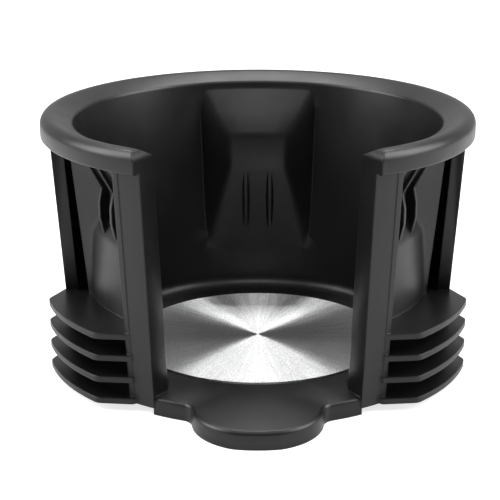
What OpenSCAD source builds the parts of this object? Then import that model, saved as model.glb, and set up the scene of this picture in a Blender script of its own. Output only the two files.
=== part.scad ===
// Car cup holder: a one-piece moulded holder with a wide rim, a front slot for a mug handle,
// three gripping bumps, windows with stacked fins behind them, a pull tab, and a spun floor disc.
// Z is up, the underside stands on Z = 0, the cup's axis is the Z axis and the front is -Y.

/* [Cup] */
// Inner diameter at the top edge of the cup wall
mouth_d = 84.9; // [82:0.1:88]
// Inner diameter of the wall at the lower end of the bumps
low_d = 76.4; // [74:0.2:79]
// Diameter of the flat floor inside the cup
foot_d = 68; // [66:0.5:70]
// Height of the floor above the underside
floor_h = 4.1; // [3.6:0.1:5]
// Thickness of the floor
floor_t = 2.4; // [2:0.1:3]
// Thickness of the cup wall
cup_t = 1.6; // [1.4:0.1:1.8]
// Thickness of the foot ring and of the hollow base's walls
foot_t = 2.1; // [1.6:0.1:2.4]

/* [Rim] */
// Outer diameter of the rim
rim_d = 99.6; // [97:0.2:104]
// Height of the rim's crest above the underside
holder_h = 60; // [57:0.5:68]
// How far the rim falls from its crest to the mouth
rim_fall = 1.9; // [1.2:0.1:2.6]
// Height of the rim's drooping lip
lip_h = 5.2; // [4:0.1:6.5]
// Rounding of the rim's outer shoulder
shoulder_r = 2.3; // [1.2:0.1:3]
// Rounding of the mouth's edge
mouth_r = 0.9; // [0.5:0.1:1.2]

/* [Skin] */
// Outer diameter of the skin at its hem
hem_d = 88.4; // [87:0.2:91]
// Outer diameter of the skin under the lip
skin_d = 95.4; // [94:0.2:96.6]
// Thickness of the skin
skin_t = 2.8; // [2.2:0.1:3]
// Height of the hem above the underside
hem_h = 1.6; // [1:0.1:2.2]

/* [Slot] */
// Half the angle of the front slot
slot_half = 30.6; // [26:0.2:32]
// How deep the end face of the wall is, measured inwards from the skin
end_w = 5.3; // [4.8:0.1:5.6]
// Thickness of the wall that closes each end of the double wall
end_t = 2.1; // [1.6:0.1:3]
// Rounding of the rim's ends at the slot
rim_end_r = 2.4; // [1:0.1:3.5]

/* [Windows] */
// Half angle of a window in the skin
window_half = 20.8; // [19:0.1:22]
// Width of the raised border along a window
border_w = 1.5; // [1:0.1:2]
// Height of that border over the skin
border_t = 0.15; // [0.1:0.05:0.3]

/* [Gripping bumps] */
// Height of a bump's top edge
bump_top = 56.3; // [54:0.1:56.8]
// Height of the crest, where the steep top face ends
bump_crest = 45.4; // [42:0.2:48]
// Height where the long lower face begins
bump_knee = 37; // [34:0.5:39]
// Height of a bump's lower end
bump_foot = 14; // [12:0.5:16]
// How far a bump stands into the cup
bump_d = 6.2; // [5:0.1:7]
// Half width of a bump at its top edge
bump_high = 14.9; // [14:0.1:15.2]
// Half width of a bump at its bottom edge
bump_low = 13.4; // [12.6:0.1:14]
// Slope of the sides, as depth for each millimetre of width
bump_side = 0.87; // [0.8:0.01:1]

/* [Pockets] */
// How far a pocket's outline lies inside its bump's outline
pocket_in = 0.8; // [0.5:0.1:1]
// Height of the roof where a pocket's bulge begins
bulge_h = 34; // [32:0.5:35.5]
// How far the pocket is sunk at that roof
bulge_d = 3.1; // [2.8:0.1:3.6]

/* [Ribs] */
// Distance of each rib from the middle of its bump
rib_x = 3.1; // [2.6:0.1:3.6]
// Thickness of a web behind a bump
web_t = 1; // [0.8:0.1:1.4]
// Radius of the web's upright free edge, from the cup's axis
web_r = 39.1; // [38.6:0.1:39.8]
// Lower end of a grip rib on the bump's face
grip_low = 19.3; // [18:0.5:22]
// Upper end of a grip rib on the bump's face
grip_high = 36.8; // [34:0.5:38]
// Height of a grip rib over the face
grip_t = 1; // [0.6:0.1:1.4]
// Width of a grip rib's crest
grip_w = 0.9; // [0.6:0.1:1.2]

/* [Fins] */
// Number of fins in a stack
fin_n = 4; // [3:1:5]
// Distance from one fin to the next
fin_pitch = 5; // [4:0.25:5.5]
// Thickness of a fin
fin_t = 1.3; // [1:0.1:1.6]
// Half width of a fin between its outer corners
fin_corner_x = 12.9; // [11.5:0.1:14]
// Half width of a fin where it meets the skin
fin_end_x = 17.6; // [17.4:0.1:18.4]
// Rounding of a fin's outer corners
fin_r = 2.6; // [1:0.2:4]

/* [Tab] */
// Distance of the tab's front from the cup's axis
tab_y = 55.8; // [53:0.2:59]
// Radius of the tab's front
tab_front_r = 25; // [20:1:34]
// Radius of the tab's sides
tab_side_r = 14.2; // [12:0.2:16]
// Distance of the tab's side radius from the cup's axis
tab_c = 42; // [40:0.5:44]
// Radius of the hollow corner between the base and the tab
tab_hollow_r = 3.2; // [2:0.2:5]
// Rounding of the base's and the tab's upper edge
edge_r = 1; // [0.4:0.1:1.4]

/* [Disc] */
// Diameter of the spun disc
disc_d = 60; // [56:0.5:61]
// Thickness of the disc
disc_t = 1; // [0.8:0.1:1.2]
// Gap around the disc in its recess
disc_gap = 0.6; // [0.3:0.1:1]
// How far the disc stands over the floor
disc_up = 0.2; // [0:0.05:0.4]

/* [Hidden] */
plastic = "#1d1e20";
metal = "#c9cbce";
$fn = 96;
over = 1;
// Middle of each bump, turned from the back
bump_angles = [0, 120, 240];
foot_r = foot_d / 2;
rim_r = rim_d / 2;
mouth_h = holder_h - rim_fall;
lip_low = holder_h - lip_h;
fin_low = hem_h + 0.1;
// Underside of the rim between the cup and the skin
rim_under = lip_low + 1.2;
end_deg = asin(end_t / (hem_d / 2));
// Lean of the cup wall and the rounding that joins it to the floor
wall_slope = (mouth_d - low_d) / 2 / (mouth_h - bump_foot);
wall_lean = atan(wall_slope);
floor_r = (cup_r(floor_h) - foot_r) * cos(wall_lean) / (1 - sin(wall_lean));

// Inner and outer radius of the plain cup wall
function cup_r(z) = low_d / 2 + (z - bump_foot) * wall_slope;
function cup_out(z) = cup_r(z) + cup_t;
// Outer radius of the skin
function skin_r(z) = hem_d / 2 + (z - hem_h) * (skin_d - hem_d) / 2 / (lip_low - hem_h);
// Smooth least of a list, which rounds a ridge over about k
function soft_min(v, k) = -k * ln(sum([for (a = v) exp(-a / k)]));
function sum(v, i = 0) = i < len(v) ? v[i] + sum(v, i + 1) : 0;
// Points of an arc, from angle a0 to a1 in n steps
function arc(c, r, a0, a1, n) =
    [for (i = [0:n]) let (a = a0 + (a1 - a0) * i / n) c + r * [cos(a), sin(a)]];
function unit(v) = v / norm(v);
function all_but_first(v) = [for (i = [1:len(v) - 1]) v[i]];

// Depth of a bump on its middle line
function crest_depth(z) = soft_min([
    bump_d,
    bump_d * (bump_top - z) / (bump_top - bump_crest),
    bump_d * (z - bump_foot) / (bump_knee - bump_foot)], 0.25);
// Half width of a bump's outline
function outline_x(z) = bump_low + (z - bump_foot) * (bump_high - bump_low) / (bump_top - bump_foot);
function bump_depth(x, z) = soft_min([crest_depth(z), bump_side * (outline_x(z) - abs(x))], 0.8);

// Depth of a pocket behind a bump, whose lower part is a bulge with a roof
pocket_top = bump_top - 0.6;
function pocket_crest(z) = soft_min([
    bump_d,
    bump_d * (pocket_top - z) / (bump_top - bump_crest),
    max(bulge_d * (z - bump_foot) / (bulge_h - bump_foot), bulge_d + (z - bulge_h) * 0.55)], 0.25);
function pocket_depth(x, z) = soft_min([pocket_crest(z), bump_side * (outline_x(z) - pocket_in - abs(x))], 0.8);

// Widths at one height: columns beside the hip, at the outline and past it
function columns(crest, edge) = let (hip = edge - max(crest / bump_side, 2.4))
    [0, hip / 2, hip - 1, hip, hip + 1, edge - 0.35, edge + 0.9];
function both_ways(v) = concat([for (i = [len(v) - 1:-1:1]) -v[i]], v);

module at_bumps() {
    for (a = bump_angles) rotate([0, 0, a]) children();
}

module on_both_sides() {
    for (m = [0, 1]) mirror([m, 0, 0]) children();
}

// Turns a profile through the wall, leaving the front slot open and more by inset
module wall_turn(inset = 0) {
    rotate([0, 0, slot_half + inset - 90]) rotate_extrude(angle = 360 - 2 * (slot_half + inset)) children();
}

// A closed block between a face that is given by its depths, seen from the cup's axis, and a plain back
module relief(rows, widths, depths, face_r, back_out) {
    n = len(widths[0]);
    m = len(rows);
    face = [for (j = [0:m - 1]) for (i = [0:n - 1])
        let (x = widths[j][i], r = face_r[j] - depths[j][i])
        [x, sqrt(r * r - x * x), rows[j]]];
    back = [for (j = [0, m - 1]) for (x = widths[j])
        let (r = face_r[j] + back_out)
        [x, sqrt(r * r - x * x), rows[j]]];
    b = m * n;
    faces = concat(
        [for (j = [0:m - 2]) for (i = [0:n - 2]) [j * n + i, (j + 1) * n + i + 1, j * n + i + 1]],
        [for (j = [0:m - 2]) for (i = [0:n - 2]) [j * n + i, (j + 1) * n + i, (j + 1) * n + i + 1]],
        [for (i = [0:n - 2]) [b + i, b + n + i + 1, b + n + i]],
        [for (i = [0:n - 2]) [b + i, b + i + 1, b + n + i + 1]],
        [for (i = [0:n - 2]) [b + i, i, i + 1, b + i + 1]],
        [for (i = [0:n - 2]) let (t = (m - 1) * n + i) [b + n + i, b + n + i + 1, t + 1, t]],
        [concat([b + n], [for (j = [m - 1:-1:0]) j * n], [b])],
        [concat([b + 2 * n - 1, b + n - 1], [for (j = [0:m - 1]) j * n + n - 1])]);
    polyhedron(concat(face, back), faces, convexity = 6);
}

// The raised face of one bump, rooted in the cup wall
module bump() {
    rows = [bump_foot - 1, bump_foot + 1, 20, 28, bump_knee - 1, bump_knee + 1, bump_crest - 1, bump_crest,
        bump_crest + 0.8, 51, bump_top - 1.5, bump_top - 0.4, bump_top + 0.7];
    widths = [for (z = rows) both_ways(columns(crest_depth(z), outline_x(z)))];
    depths = [for (j = [0:len(rows) - 1]) [for (x = widths[j]) max(bump_depth(x, rows[j]), -cup_t / 3)]];
    relief(rows, widths, depths, [for (z = rows) cup_r(z)], cup_t / 2);
}

// The room behind one bump, open to the window
module pocket() {
    rows = [bump_foot - 1, bump_foot + 2, 20, 27, bulge_h - 1, bulge_h, bulge_h + 2, bulge_h + 4, bulge_h + 6,
        bump_crest - 1.4, bump_crest - 0.4, bump_crest + 0.6, 51, pocket_top - 1, pocket_top + 0.2];
    widths = [for (z = rows) both_ways(columns(pocket_crest(z), outline_x(z) - pocket_in))];
    depths = [for (j = [0:len(rows) - 1]) [for (x = widths[j]) max(pocket_depth(x, rows[j]), -0.6)]];
    relief(rows, widths, depths, [for (z = rows) cup_out(z)], 1.2);
}

// Section of the closed wall: cup side, mouth edge, sloping rim top, shoulder, lip and skin side
module wall_profile() {
    mouth_c = [cup_r(mouth_h - mouth_r) + mouth_r / cos(wall_lean), mouth_h - mouth_r];
    shoulder_c = [rim_r - shoulder_r, holder_h - shoulder_r];
    way = shoulder_c - mouth_c;
    lean = atan2(way[1], way[0]) + asin((shoulder_r - mouth_r) / norm(way));
    lip_r = 0.6;
    polygon(concat(
        arc([foot_r, floor_h + floor_r], floor_r, -90, -wall_lean, 6),
        arc(mouth_c, mouth_r, 180 - wall_lean, lean + 90, 5),
        arc(shoulder_c, shoulder_r, lean + 90, 0, 9),
        arc([rim_r - lip_r, lip_low + lip_r], lip_r, 0, -90, 3),
        [[skin_r(lip_low), lip_low],
        [skin_r(hem_h), hem_h],
        [foot_r + foot_t / 2, hem_h],
        [foot_r + foot_t / 2, floor_h - floor_t / 2]]));
}

// Section of the space between the cup and the skin, open at the bottom
module cavity_profile() {
    polygon([
        [foot_r + foot_t, -over],
        [foot_r + foot_t, hem_h / 2],
        [cup_out(floor_h + floor_r), floor_h + floor_r],
        [cup_out(rim_under), rim_under],
        [skin_r(rim_under) - skin_t, rim_under],
        [skin_r(-over) - skin_t, -over]]);
}

// Sweeps a section across a window, a little further with an added width
module window_turn(add = 0) {
    half = window_half + asin(add / rim_r);
    rotate([0, 0, 90 - half]) rotate_extrude(angle = 2 * half) children();
}

// Opening through the skin, short of the cup wall
module window_cut() {
    window_turn() polygon([
        [cup_out(hem_h) + 0.6, hem_h - over],
        [2 * rim_r, hem_h - over],
        [2 * rim_r, lip_low],
        [cup_out(lip_low) + 0.6, lip_low]]);
}

// The fine raised border along the windows
module borders() {
    at_bumps() window_turn(border_w) polygon([
        [skin_r(hem_h) - 1, hem_h],
        [skin_r(hem_h) + border_t, hem_h],
        [skin_r(lip_low + 0.4) + border_t, lip_low + 0.4],
        [skin_r(lip_low + 0.4) - 1, lip_low + 0.4]]);
}

// Behind the end faces the slot goes straight back through the cup wall
module slot_cut() {
    low = (skin_r(floor_h) - end_w) * sin(slot_half);
    high = (skin_r(holder_h) - end_w) * sin(slot_half);
    rotate([90, 0, 0]) linear_extrude(rim_r)
        polygon([[-low, floor_h], [low, floor_h], [high, holder_h + over], [-high, holder_h + over]]);
}

// Rounds the upper corners of the rim where the slot cuts it
module rim_end_cut() {
    on_both_sides() rotate([0, 0, slot_half]) translate([0, over - mouth_d / 2, holder_h - rim_end_r])
        rotate([90, 0, 0]) linear_extrude(rim_r - mouth_d / 2 + 2 * over)
            difference() {
                translate([-over, 0]) square(rim_end_r + over);
                translate([rim_end_r, 0]) circle(r = rim_end_r);
            }
}

// Plan of a fin, from the cup's axis, with the bump's middle along Y
module fin_plan() {
    half = asin(fin_corner_x / rim_r);
    root = skin_r(fin_pitch * fin_n) + border_t;
    end_y = sqrt(root * root - fin_end_x * fin_end_x);
    corner = [fin_corner_x, rim_r * cos(half)];
    along = unit([fin_end_x, end_y] - corner);
    turn = atan2(-along[1], along[0]) - half;
    cut = fin_r * tan(turn / 2);
    start = 90 - half + cut / rim_r * 180 / PI;
    centre = (rim_r - fin_r) * [cos(start), sin(start)];
    right = concat(
        arc([0, 0], rim_r, 90, start, 8),
        arc(centre, fin_r, start, start - turn, 5),
        [[fin_end_x - 0.5, end_y + 0.4], [fin_end_x, end_y - 0.3], [fin_end_x, foot_r / 2]]);
    polygon(concat(right, [for (i = [len(right) - 1:-1:1]) [-right[i][0], right[i][1]]]));
}

// A stack of fins across a window, rooted in the cup wall
module fins() {
    difference() {
        for (i = [0:fin_n - 1]) translate([0, 0, fin_low + i * fin_pitch]) linear_extrude(fin_t) fin_plan();
        rotate_extrude() polygon([
            [0, 0],
            [foot_r + foot_t / 2, 0],
            [cup_r(floor_h + floor_r) + cup_t / 3, floor_h + floor_r],
            [cup_r(holder_h) + cup_t / 3, holder_h],
            [0, holder_h]]);
    }
}

// Two webs that stiffen the fold behind a bump's crest
module webs() {
    zs = [bulge_h - 1, bulge_h + 1.5, bulge_h + 4, 42, bump_crest - 0.5, bump_crest + 1.5, 52];
    inner = [for (z = zs) [cup_r(z) - crest_depth(z) + cup_t * 0.55, z]];
    free = [
        [cup_out(52) - pocket_crest(52) + 0.7, 52],
        [cup_out(bump_crest) - pocket_crest(bump_crest) + 1.4, bump_crest],
        [web_r, bump_crest - 3.2],
        [web_r, bump_crest - 6.7],
        [cup_out(bulge_h + 1) - bulge_d - 0.5, bulge_h + 1]];
    for (x = [-rib_x, rib_x]) translate([x - web_t / 2, 0, 0]) rotate([90, 0, 90])
        linear_extrude(web_t) polygon(concat(inner, free));
}

// Two ribs on a bump's lower face, tallest in the middle and pointed at the ends
module grip_ribs() {
    low = [cup_r(grip_low) - crest_depth(grip_low), grip_low];
    high = [cup_r(grip_high) - crest_depth(grip_high), grip_high];
    half = norm(high - low) / 2;
    big_r = (half * half + grip_t * grip_t) / 2 / grip_t;
    across = unit([high[1] - low[1], low[0] - high[0]]);
    centre = (low + high) / 2 + across * (big_r - grip_t);
    lean = atan2(high[0] - low[0], high[1] - low[1]);
    swing = asin(half / big_r) * 1.05;
    base_w = grip_w / 2 + grip_t * 0.6 + 0.3;
    for (x = [-rib_x, rib_x]) translate([x, centre[0], centre[1]]) rotate([-lean, 0, 0])
        rotate([0, 90, 0]) rotate([0, 0, -90 - swing]) rotate_extrude(angle = 2 * swing)
            polygon([
                [big_r - grip_t - 0.5, -base_w],
                [big_r, -grip_w / 2],
                [big_r, grip_w / 2],
                [big_r - grip_t - 0.5, base_w]]);
}

// Outline of the base's front and the pull tab, drawn in by inset, between two radii at angle half
function front_outline(inset, half) =
    let (base_r = skin_r(0) - 0.15 - inset,
        hollow_r = tab_hollow_r + inset,
        side_r = tab_side_r - inset,
        front_r = tab_front_r - inset,
        // The hollow corner's circle touches the base's circle and the tab's side
        a = base_r + hollow_r,
        b = side_r + hollow_r,
        y = (a * a - b * b + tab_c * tab_c) / 2 / tab_c,
        hollow_c = [sqrt(a * a - y * y), -y],
        from_base = atan2(hollow_c[1], hollow_c[0]),
        from_side = atan2(tab_c - y, hollow_c[0]),
        // The tab's side meets its front
        d = tab_c + tab_front_r - tab_y,
        low = (front_r * front_r - side_r * side_r - d * d) / 2 / d,
        right = concat(
            arc([0, 0], base_r, half - 90, from_base, 4),
            all_but_first(arc(hollow_c, hollow_r, from_base + 180, from_side + 180, 8)),
            all_but_first(arc([0, -tab_c], side_r, from_side, -asin(low / side_r), 12)),
            all_but_first(arc([0, tab_front_r - tab_y], front_r,
                -acos(sqrt(side_r * side_r - low * low) / front_r), -90, 4))),
        last = len(right) - 1)
    concat([[0, 0]], right, [for (i = [last - 1:-1:0]) [-right[i][0], right[i][1]]]);

// A strip that runs along the front's outline, with a section given as insets and heights
module edge_strip(half, section) {
    lines = [for (p = section) [for (q = all_but_first(front_outline(p[0], half))) [q[0], q[1], p[1]]]];
    n = len(lines[0]);
    m = len(section);
    points = [for (i = [0:n - 1]) for (j = [0:m - 1]) lines[j][i]];
    faces = concat(
        [[for (j = [m - 1:-1:0]) j]],
        [[for (j = [0:m - 1]) (n - 1) * m + j]],
        [for (i = [0:n - 2]) for (j = [0:m - 1]) [i * m + j, (i + 1) * m + (j + 1) % m, (i + 1) * m + j]],
        [for (i = [0:n - 2]) for (j = [0:m - 1]) [i * m + j, i * m + (j + 1) % m, (i + 1) * m + (j + 1) % m]]);
    polyhedron(points, faces, convexity = 4);
}

// Floor, foot ring, front of the base and pull tab, still solid
module base() {
    rounding = concat(
        [[edge_r, floor_h + 0.05], [-0.5, floor_h + 0.5], [-0.5, floor_h - edge_r]],
        [for (t = [0:30:60]) [edge_r * (1 - cos(t)) - 0.03, floor_h - edge_r * (1 - sin(t))]]);
    cylinder(r = foot_r + foot_t + over, h = floor_h);
    difference() {
        linear_extrude(floor_h) polygon(front_outline(0, slot_half + 0.4));
        edge_strip(slot_half + 3, rounding);
    }
}

// The hollows under the floor and under the front, and the disc's recess
module base_cut() {
    deep = floor_h - floor_t;
    translate([0, 0, -over]) cylinder(r = foot_r, h = deep + over);
    difference() {
        translate([0, 0, -over]) linear_extrude(deep + over) polygon(front_outline(foot_t, slot_half - 2));
        cylinder(r = foot_r + foot_t, h = holder_h, center = true);
    }
    translate([0, 0, floor_h + disc_up - disc_t]) cylinder(r = disc_d / 2 + disc_gap, h = disc_t + over);
}

module holder_body() {
    color(plastic) {
        difference() {
            union() {
                wall_turn() wall_profile();
                borders();
                at_bumps() bump();
                base();
            }
            wall_turn(end_deg) cavity_profile();
            at_bumps() window_cut();
            at_bumps() pocket();
            slot_cut();
            rim_end_cut();
            base_cut();
        }
        at_bumps() {
            webs();
            grip_ribs();
            fins();
        }
    }
}

module base_disc() {
    color(metal)
        translate([0, 0, floor_h + disc_up - disc_t])
            cylinder(r = disc_d / 2, h = disc_t);
}

holder_body();
base_disc();
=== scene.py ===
"""Looks of the car cup holder: grained black plastic, a spun floor disc and a plain studio.

Everything is in metres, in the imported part's frame: Z up, the cup's axis on Z, the open front towards -Y.
"""
import math

import bpy
from bpy.props import FloatProperty, FloatVectorProperty, IntProperty, PointerProperty
from bpy.types import Operator, Panel, PropertyGroup
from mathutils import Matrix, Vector


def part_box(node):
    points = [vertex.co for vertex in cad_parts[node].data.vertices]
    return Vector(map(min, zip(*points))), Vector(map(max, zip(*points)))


bl_info = {
    "name": "Car cup holder",
    "version": (1, 0, 0),
    "blender": (4, 5, 0),
    "location": "3D View > Sidebar > Cup holder",
    "description": "Dresses the cup holder's solids and sets up its studio",
    "category": "Object",
}

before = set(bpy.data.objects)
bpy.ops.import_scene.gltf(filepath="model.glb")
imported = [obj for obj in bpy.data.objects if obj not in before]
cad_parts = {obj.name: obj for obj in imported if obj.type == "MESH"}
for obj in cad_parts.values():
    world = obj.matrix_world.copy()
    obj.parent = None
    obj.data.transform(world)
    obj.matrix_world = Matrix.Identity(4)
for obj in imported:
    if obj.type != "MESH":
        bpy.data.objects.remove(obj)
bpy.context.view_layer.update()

BODY = "holder_body"
DISC = "base_disc"
MM = 0.001
WHITE = (1.0, 1.0, 1.0, 1.0)

DISC_LOW, DISC_HIGH = (Vector(corner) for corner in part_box(DISC))
DISC_R = (DISC_HIGH.x - DISC_LOW.x) / 2
DISC_TOP = DISC_HIGH.z
HOLDER_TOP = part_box(BODY)[1][2]

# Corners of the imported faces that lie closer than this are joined
WELD_DISTANCE = 0.002 * MM

# Noise scales, in features per metre
GLOSS_DRIFT_SCALE = 38.0
SMUDGE_SCALE = 160.0
GRIT_SCALE = 2600.0
FLOOR_MOTTLE_SCALE = 3.0

# How fast the streaks change outwards, and how fast the turning marks change round the disc
STREAK_DRIFT = 3.0
RING_DRIFT = 1.5
# Half the spread of the disc's roughness
ROUGHNESS_SPREAD = 0.07
# Turns the disc's highlights from across the turning marks to along them
QUARTER_TURN = 0.25
PLASTIC_IOR = 1.45

# The floor runs to FLOOR_REACH on three sides, and from BACKDROP_Y it curves up to BACKDROP_TOP
FLOOR_REACH = 4.0
BACKDROP_Y = 2.2
BACKDROP_CURVE = 1.2
BACKDROP_TOP = 3.0
CURVE_STEPS = 16
FLOOR_MOTTLE = 0.99

# Each lamp's place, the point it shines at, its width and height, and the setting that holds its power
MIDDLE = (0.0, 0.0, HOLDER_TOP / 2)
LAMPS = {
    "high lamp": ((0.0, 0.29, 0.60), (0.0, 0.0, HOLDER_TOP), (0.68, 0.14), "high_power"),
    "left lamp": ((-0.60, -0.02, 0.42), MIDDLE, (0.4, 0.6), "side_power"),
    "right lamp": ((0.60, -0.02, 0.42), MIDDLE, (0.4, 0.6), "side_power"),
    "front lamp": ((0.0, -0.36, 0.80), MIDDLE, (0.5, 0.2), "front_power"),
    "backdrop lamp": ((0.0, 0.9, 1.6), (0.0, 3.0, 0.6), (3.0, 0.8), "backdrop_power"),
}

# Places of the colour sockets on a Mix node
MIX_FACTOR, MIX_A, MIX_B, MIX_RESULT = 0, 6, 7, 2


class PlasticFinish(PropertyGroup):
    """Finish of the moulded body"""

    colour: FloatVectorProperty(
        name="Colour", description="Colour of the plastic", subtype="COLOR",
        size=3, min=0, max=1, default=(0.0042, 0.0042, 0.0046))
    worn_colour: FloatVectorProperty(
        name="Paler colour", description="Colour where the plastic looks a little paler", subtype="COLOR",
        size=3, min=0, max=1, default=(0.0075, 0.0075, 0.0082))
    gloss_low: FloatProperty(
        name="Shiniest", description="Roughness of the shiniest spots", subtype="FACTOR", min=0, max=1,
        default=0.33)
    gloss_high: FloatProperty(
        name="Dullest", description="Roughness of the dullest spots", subtype="FACTOR", min=0, max=1,
        default=0.41)
    grain_size: FloatProperty(
        name="Grain", description="Size of one grain of the mould's texture", unit="LENGTH",
        min=0.0001, max=0.002, default=0.35 * MM)
    grain_depth: FloatProperty(
        name="Grain depth", description="Depth of that grain", unit="LENGTH", min=0, max=0.0002,
        default=0.006 * MM)
    edge_round: FloatProperty(
        name="Edge rounding", description="Radius that light sees on every edge", unit="LENGTH",
        min=0, max=0.001, default=0.45 * MM)
    smooth_angle: FloatProperty(
        name="Smooth up to", description="Faces that meet at less than this angle are shaded as one",
        subtype="ANGLE", min=0, max=math.pi, default=math.radians(32))


class DiscFinish(PropertyGroup):
    """Finish of the spun disc"""

    colour: FloatVectorProperty(
        name="Colour", description="Colour of the metal", subtype="COLOR",
        size=3, min=0, max=1, default=(0.95, 0.952, 0.956))
    dull_colour: FloatVectorProperty(
        name="Streak colour", description="Colour of the dull streaks", subtype="COLOR",
        size=3, min=0, max=1, default=(0.60, 0.602, 0.606))
    roughness: FloatProperty(
        name="Roughness", description="Roughness across the turning marks", subtype="FACTOR", min=0, max=1,
        default=0.44)
    pull: FloatProperty(
        name="Anisotropy", description="How far the turning marks draw a highlight out", subtype="FACTOR",
        min=0, max=1, default=1.0)
    ring_pitch: FloatProperty(
        name="Turning marks", description="Distance from one turning mark to the next", unit="LENGTH",
        min=0.00005, max=0.002, default=0.22 * MM)
    ring_depth: FloatProperty(
        name="Mark depth", description="Depth of the turning marks", unit="LENGTH", min=0, max=0.0001,
        default=0.0022 * MM)
    streaks: IntProperty(
        name="Streaks", description="Streaks round the disc", min=8, max=400, default=90)
    streak_depth: FloatProperty(
        name="Streak depth", description="Depth of the streaks", unit="LENGTH", min=0, max=0.0001,
        default=0.006 * MM)
    haze: FloatProperty(
        name="Haze", description="Share of light that the metal's grain scatters", subtype="FACTOR",
        min=0, max=0.5, default=0.1)
    smooth_angle: FloatProperty(
        name="Smooth up to", description="Faces that meet at less than this angle are shaded as one",
        subtype="ANGLE", min=0, max=math.pi, default=math.radians(40))


class Studio(PropertyGroup):
    """Floor, lamps and camera"""

    floor_colour: FloatVectorProperty(
        name="Floor", description="Colour of the floor and the backdrop", subtype="COLOR",
        size=3, min=0, max=1, default=(0.56, 0.56, 0.56))
    floor_glow: FloatProperty(
        name="Floor glow", description="Brightness that only the camera sees on the floor", min=0, max=1,
        default=0.75)
    floor_shine: FloatProperty(
        name="Floor in reflections", description="Brightness that only reflections see on the floor", min=0,
        max=1, default=0.4)
    surround: FloatProperty(
        name="Surround", description="Light of the white surroundings", min=0, max=3, default=0.16)
    high_power: FloatProperty(
        name="High lamp", description="Power of the lamp above and behind", unit="POWER", min=0, max=100,
        default=3.1)
    side_power: FloatProperty(
        name="Side lamps", description="Power of each side lamp", unit="POWER", min=0, max=100,
        default=6.0)
    front_power: FloatProperty(
        name="Front lamp", description="Power of the lamp above the front", unit="POWER", min=0, max=100,
        default=1.5)
    backdrop_power: FloatProperty(
        name="Backdrop lamp", description="Power of the lamp that lights the backdrop alone", unit="POWER",
        min=0, max=200, default=21.0)
    camera_back: FloatProperty(
        name="Camera distance", description="How far the camera stands in front, in disc radii",
        min=4, max=40, default=10.918)
    camera_up: FloatProperty(
        name="Camera height", description="How high the camera stands over the disc, in disc radii",
        min=0, max=20, default=4.178)
    camera_dip: FloatProperty(
        name="Camera dip", description="Angle at which the camera looks down", subtype="ANGLE",
        min=0, max=math.pi / 2, default=math.radians(17.617))
    lens: FloatProperty(
        name="Lens", description="Focal length on a 36 mm sensor, in millimetres", min=20, max=300,
        default=104.35)
    shift: FloatProperty(
        name="Sideways shift", description="Sideways shift of the picture", min=-0.1, max=0.1,
        default=-0.0156)


class NodeTree:
    """Shorthand that adds and links shader nodes"""

    def __init__(self, name, tree=None):
        if tree is None:
            self.material = bpy.data.materials.new(name)
            self.material.use_nodes = True
            tree = self.material.node_tree
        self.tree = tree
        self.tree.nodes.clear()

    def add(self, kind, inputs=None, **settings):
        node = self.tree.nodes.new("ShaderNode" + kind)
        for key, value in settings.items():
            setattr(node, key, value)
        for key, value in (inputs or {}).items():
            if isinstance(value, bpy.types.NodeSocket):
                self.tree.links.new(value, node.inputs[key])
            else:
                node.inputs[key].default_value = value
        return node

    def math(self, operation, a, b=0.0, c=0.0):
        return self.add("Math", {0: a, 1: b, 2: c}, operation=operation).outputs[0]

    def mean(self, a, b, share):
        """Mean of two values, with that share of the first"""
        return self.math("MULTIPLY_ADD", a, share, self.math("MULTIPLY", b, 1 - share))

    def noise(self, vector, scale, detail=2.0, roughness=0.5):
        node = self.add("TexNoise", {"Vector": vector, "Scale": scale, "Detail": detail,
                                     "Roughness": roughness})
        return node.outputs["Fac"]

    def spread(self, value, low, high, to_low=0.0, to_high=1.0):
        node = self.add("MapRange", {"Value": value, "From Min": low, "From Max": high,
                                     "To Min": to_low, "To Max": to_high})
        return node.outputs["Result"]

    def blend(self, factor, a, b):
        node = self.add("Mix", {MIX_FACTOR: factor, MIX_A: a, MIX_B: b}, data_type="RGBA")
        return node.outputs[MIX_RESULT]

    def point(self, x, y, z):
        return self.add("CombineXYZ", {"X": x, "Y": y, "Z": z}).outputs["Vector"]

    def bump(self, height, depth, normal=None):
        inputs = {"Strength": 1.0, "Distance": depth, "Height": height}
        if normal is not None:
            inputs["Normal"] = normal
        return self.add("Bump", inputs).outputs["Normal"]

    def finish(self, surface, output="OutputMaterial"):
        self.add(output, {"Surface": surface})


def opaque(colour):
    return (*colour, 1.0)


def plastic_material(look):
    """Black plastic with the mould's fine grain and slow changes of gloss"""
    nodes = NodeTree("moulded_plastic")
    place = nodes.add("TexCoord").outputs["Object"]
    drift = nodes.noise(place, GLOSS_DRIFT_SCALE, 3.0, 0.6)
    smudge = nodes.noise(place, SMUDGE_SCALE, 4.0, 0.65)
    gloss = nodes.spread(nodes.mean(smudge, drift, 0.5), 0.36, 0.64, look.gloss_low, look.gloss_high)
    colour = nodes.blend(nodes.spread(drift, 0.35, 0.7), opaque(look.colour), opaque(look.worn_colour))
    rounded = nodes.add("Bevel", {"Radius": look.edge_round}, samples=6).outputs["Normal"]
    # Grain: rounded pits with a finer noise over them
    grain = nodes.noise(place, 1.0 / look.grain_size, 2.0, 0.55)
    pits = nodes.add("TexVoronoi", {"Vector": place, "Scale": 0.55 / look.grain_size}, feature="SMOOTH_F1")
    relief = nodes.math("MULTIPLY_ADD", pits.outputs["Distance"], 0.6, grain)
    shader = nodes.add("BsdfPrincipled", {
        "Base Color": colour, "Roughness": gloss, "IOR": PLASTIC_IOR,
        "Normal": nodes.bump(relief, look.grain_depth, rounded)})
    nodes.finish(shader.outputs["BSDF"])
    return nodes.material


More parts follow.
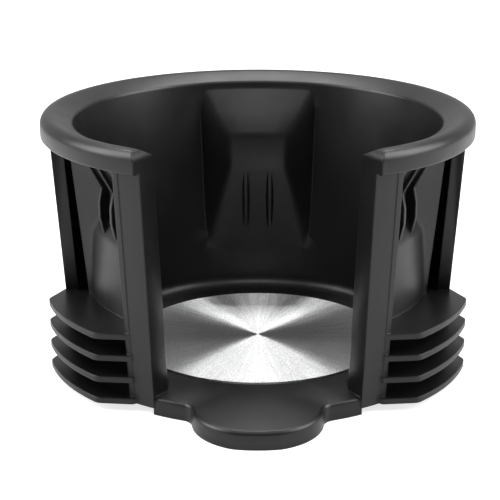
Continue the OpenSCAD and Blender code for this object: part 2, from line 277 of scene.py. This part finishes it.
def disc_material(look):
    """Aluminium turned on a lathe: rings drawn round the middle, with radial streaks and grit"""
    nodes = NodeTree("spun_aluminium")
    place = nodes.add("TexCoord").outputs["Object"]
    split = nodes.add("SeparateXYZ", {"Vector": place})
    x, y = split.outputs["X"], split.outputs["Y"]
    radius = nodes.math("SQRT", nodes.math("MULTIPLY_ADD", x, x, nodes.math("MULTIPLY", y, y)))
    turn = nodes.math("ARCTAN2", y, x)
    # Streaks: noise that changes fast round the disc and slowly outwards
    safe_radius = nodes.math("MAXIMUM", radius, 0.1 * MM)
    round_place = nodes.point(nodes.math("DIVIDE", x, safe_radius), nodes.math("DIVIDE", y, safe_radius),
                              nodes.math("MULTIPLY", radius, STREAK_DRIFT))
    streak = nodes.noise(round_place, look.streaks / math.pi, 3.0, 0.6)
    grit = nodes.noise(place, GRIT_SCALE, 2.0, 0.6)
    # Rings: noise that changes fast outwards and slowly round the disc
    ring_place = nodes.point(nodes.math("DIVIDE", radius, look.ring_pitch),
                             nodes.math("MULTIPLY", nodes.math("SINE", turn), RING_DRIFT),
                             nodes.math("MULTIPLY", nodes.math("COSINE", turn), RING_DRIFT))
    rings = nodes.noise(ring_place, 1.0, 3.0, 0.7)
    colour = nodes.blend(nodes.spread(nodes.mean(grit, streak, 0.7), 0.41, 0.59),
                         opaque(look.dull_colour), opaque(look.colour))
    rough = nodes.spread(nodes.mean(grit, streak, 0.4), 0.3, 0.7,
                         look.roughness - ROUGHNESS_SPREAD, look.roughness + ROUGHNESS_SPREAD)
    metal = nodes.spread(grit, 0.36, 0.64, 1.0 - 2 * look.haze, 1.0)
    marked = nodes.bump(rings, look.ring_depth, nodes.bump(streak, look.streak_depth))
    tangent = nodes.add("Tangent", direction_type="RADIAL", axis="Z").outputs["Tangent"]
    shader = nodes.add("BsdfPrincipled", {
        "Base Color": colour, "Metallic": metal, "Roughness": rough, "Anisotropic": look.pull,
        "Anisotropic Rotation": QUARTER_TURN, "Normal": marked, "Tangent": tangent})
    nodes.finish(shader.outputs["BSDF"])
    return nodes.material


def floor_material(look):
    """Matt white that the camera and reflections see brighter, so that the object's shadow stays"""
    nodes = NodeTree("studio_floor")
    place = nodes.add("TexCoord").outputs["Object"]
    mottle = nodes.spread(nodes.noise(place, FLOOR_MOTTLE_SCALE), 0.3, 0.7)
    darker = opaque(FLOOR_MOTTLE * part for part in look.floor_colour)
    matt = nodes.add("BsdfDiffuse", {"Color": nodes.blend(mottle, darker, opaque(look.floor_colour))})
    path = nodes.add("LightPath")
    shine = nodes.math("MULTIPLY", path.outputs["Is Glossy Ray"], look.floor_shine)
    glow = nodes.add("Emission", {
        "Color": WHITE,
        "Strength": nodes.math("MULTIPLY_ADD", path.outputs["Is Camera Ray"], look.floor_glow, shine)})
    both = nodes.add("AddShader", {0: matt.outputs["BSDF"], 1: glow.outputs["Emission"]})
    nodes.finish(both.outputs["Shader"])
    return nodes.material


def shade_by_angle(piece, angle):
    """Joins the faces' split corners and shades faces as one up to an angle"""
    piece.data.shade_smooth()
    weld = piece.modifiers.new("join corners", "WELD")
    weld.merge_threshold = WELD_DISTANCE
    split = piece.modifiers.new("keep edges", "EDGE_SPLIT")
    split.split_angle = angle
    split.use_edge_sharp = False


def dress(piece, material):
    piece.data.materials.clear()
    piece.data.materials.append(material)


class CUPHOLDER_OT_body(Operator):
    """Give the moulded body its grained black plastic"""

    bl_idname = "cupholder.body"
    bl_label = "Moulded body"

    def execute(self, context):
        look = context.scene.holder_plastic
        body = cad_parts[BODY]
        shade_by_angle(body, look.smooth_angle)
        dress(body, plastic_material(look))
        return {"FINISHED"}


class CUPHOLDER_OT_disc(Operator):
    """Give the floor disc its spun metal"""

    bl_idname = "cupholder.disc"
    bl_label = "Spun disc"

    def execute(self, context):
        look = context.scene.holder_disc
        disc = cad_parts[DISC]
        shade_by_angle(disc, look.smooth_angle)
        dress(disc, disc_material(look))
        return {"FINISHED"}


class CUPHOLDER_OT_stage(Operator):
    """Set up the floor, the surroundings, the lamps and the camera"""

    bl_idname = "cupholder.stage"
    bl_label = "Studio"

    def execute(self, context):
        look = context.scene.holder_studio
        self.floor(look)
        self.surround(context.scene, look)
        for name, (place, aim, size, power) in LAMPS.items():
            self.lamp(name, place, aim, size, getattr(look, power))
        self.camera(context.scene, look)
        return {"FINISHED"}

    def floor(self, look):
        """A floor that curves up into a backdrop far behind the object"""
        outline = [(-FLOOR_REACH, 0.0), (BACKDROP_Y, 0.0)]
        for step in range(1, CURVE_STEPS + 1):
            turn = step / CURVE_STEPS * math.pi / 2
            outline.append((BACKDROP_Y + BACKDROP_CURVE * math.sin(turn),
                            BACKDROP_CURVE * (1 - math.cos(turn))))
        outline.append((BACKDROP_Y + BACKDROP_CURVE, BACKDROP_TOP))
        points = [(x, y, z) for x in (-FLOOR_REACH, FLOOR_REACH) for y, z in outline]
        count = len(outline)
        faces = [(i, count + i, count + i + 1, i + 1) for i in range(count - 1)]
        mesh = bpy.data.meshes.new("studio_floor")
        mesh.from_pydata(points, [], faces)
        mesh.shade_smooth()
        floor = bpy.data.objects.new("studio_floor", mesh)
        bpy.context.scene.collection.objects.link(floor)
        dress(floor, floor_material(look))

    def surround(self, scene, look):
        """White to the camera, and a soft fill light to the object"""
        world = bpy.data.worlds.new("studio_surround")
        world.use_nodes = True
        scene.world = world
        nodes = NodeTree("studio_surround", world.node_tree)
        seen = nodes.add("LightPath").outputs["Is Camera Ray"]
        strength = nodes.spread(seen, 0.0, 1.0, look.surround, 1.0)
        sky = nodes.add("Background", {"Color": WHITE, "Strength": strength})
        nodes.finish(sky.outputs["Background"], "OutputWorld")

    def lamp(self, name, place, aim, size, power):
        data = bpy.data.lights.new(name, "AREA")
        data.shape = "RECTANGLE"
        data.size, data.size_y = size
        data.energy = power
        lamp = bpy.data.objects.new(name, data)
        lamp.location = place
        lamp.rotation_euler = (Vector(aim) - Vector(place)).to_track_quat("-Z", "Y").to_euler()
        bpy.context.scene.collection.objects.link(lamp)

    def camera(self, scene, look):
        data = bpy.data.cameras.new("camera")
        data.sensor_width = 36.0
        data.lens = look.lens
        data.shift_x = look.shift
        camera = bpy.data.objects.new("camera", data)
        camera.location = (0.0, -look.camera_back * DISC_R, DISC_TOP + look.camera_up * DISC_R)
        camera.rotation_euler = (math.pi / 2 - look.camera_dip, 0.0, 0.0)
        scene.collection.objects.link(camera)
        scene.camera = camera
        scene.view_settings.view_transform = "Standard"


class CUPHOLDER_PT_panel(Panel):
    """Settings and steps of the cup holder"""

    bl_idname = "CUPHOLDER_PT_panel"
    bl_label = "Cup holder"
    bl_space_type = "VIEW_3D"
    bl_region_type = "UI"
    bl_category = "Cup holder"

    def draw(self, context):
        scene = context.scene
        groups = (("Body", scene.holder_plastic, CUPHOLDER_OT_body),
                  ("Disc", scene.holder_disc, CUPHOLDER_OT_disc),
                  ("Studio", scene.holder_studio, CUPHOLDER_OT_stage))
        for title, group, operator in groups:
            box = self.layout.box()
            box.label(text=title)
            for name in group.__annotations__:
                box.prop(group, name)
            box.operator(operator.bl_idname)


CLASSES = (PlasticFinish, DiscFinish, Studio, CUPHOLDER_OT_body, CUPHOLDER_OT_disc, CUPHOLDER_OT_stage,
           CUPHOLDER_PT_panel)


def register():
    for cls in CLASSES:
        bpy.utils.register_class(cls)
    bpy.types.Scene.holder_plastic = PointerProperty(type=PlasticFinish)
    bpy.types.Scene.holder_disc = PointerProperty(type=DiscFinish)
    bpy.types.Scene.holder_studio = PointerProperty(type=Studio)


def unregister():
    del bpy.types.Scene.holder_studio
    del bpy.types.Scene.holder_disc
    del bpy.types.Scene.holder_plastic
    for cls in reversed(CLASSES):
        bpy.utils.unregister_class(cls)


def main():
    register()
    bpy.ops.cupholder.body()
    bpy.ops.cupholder.disc()
    bpy.ops.cupholder.stage()


if __name__ == "__main__":
    main()
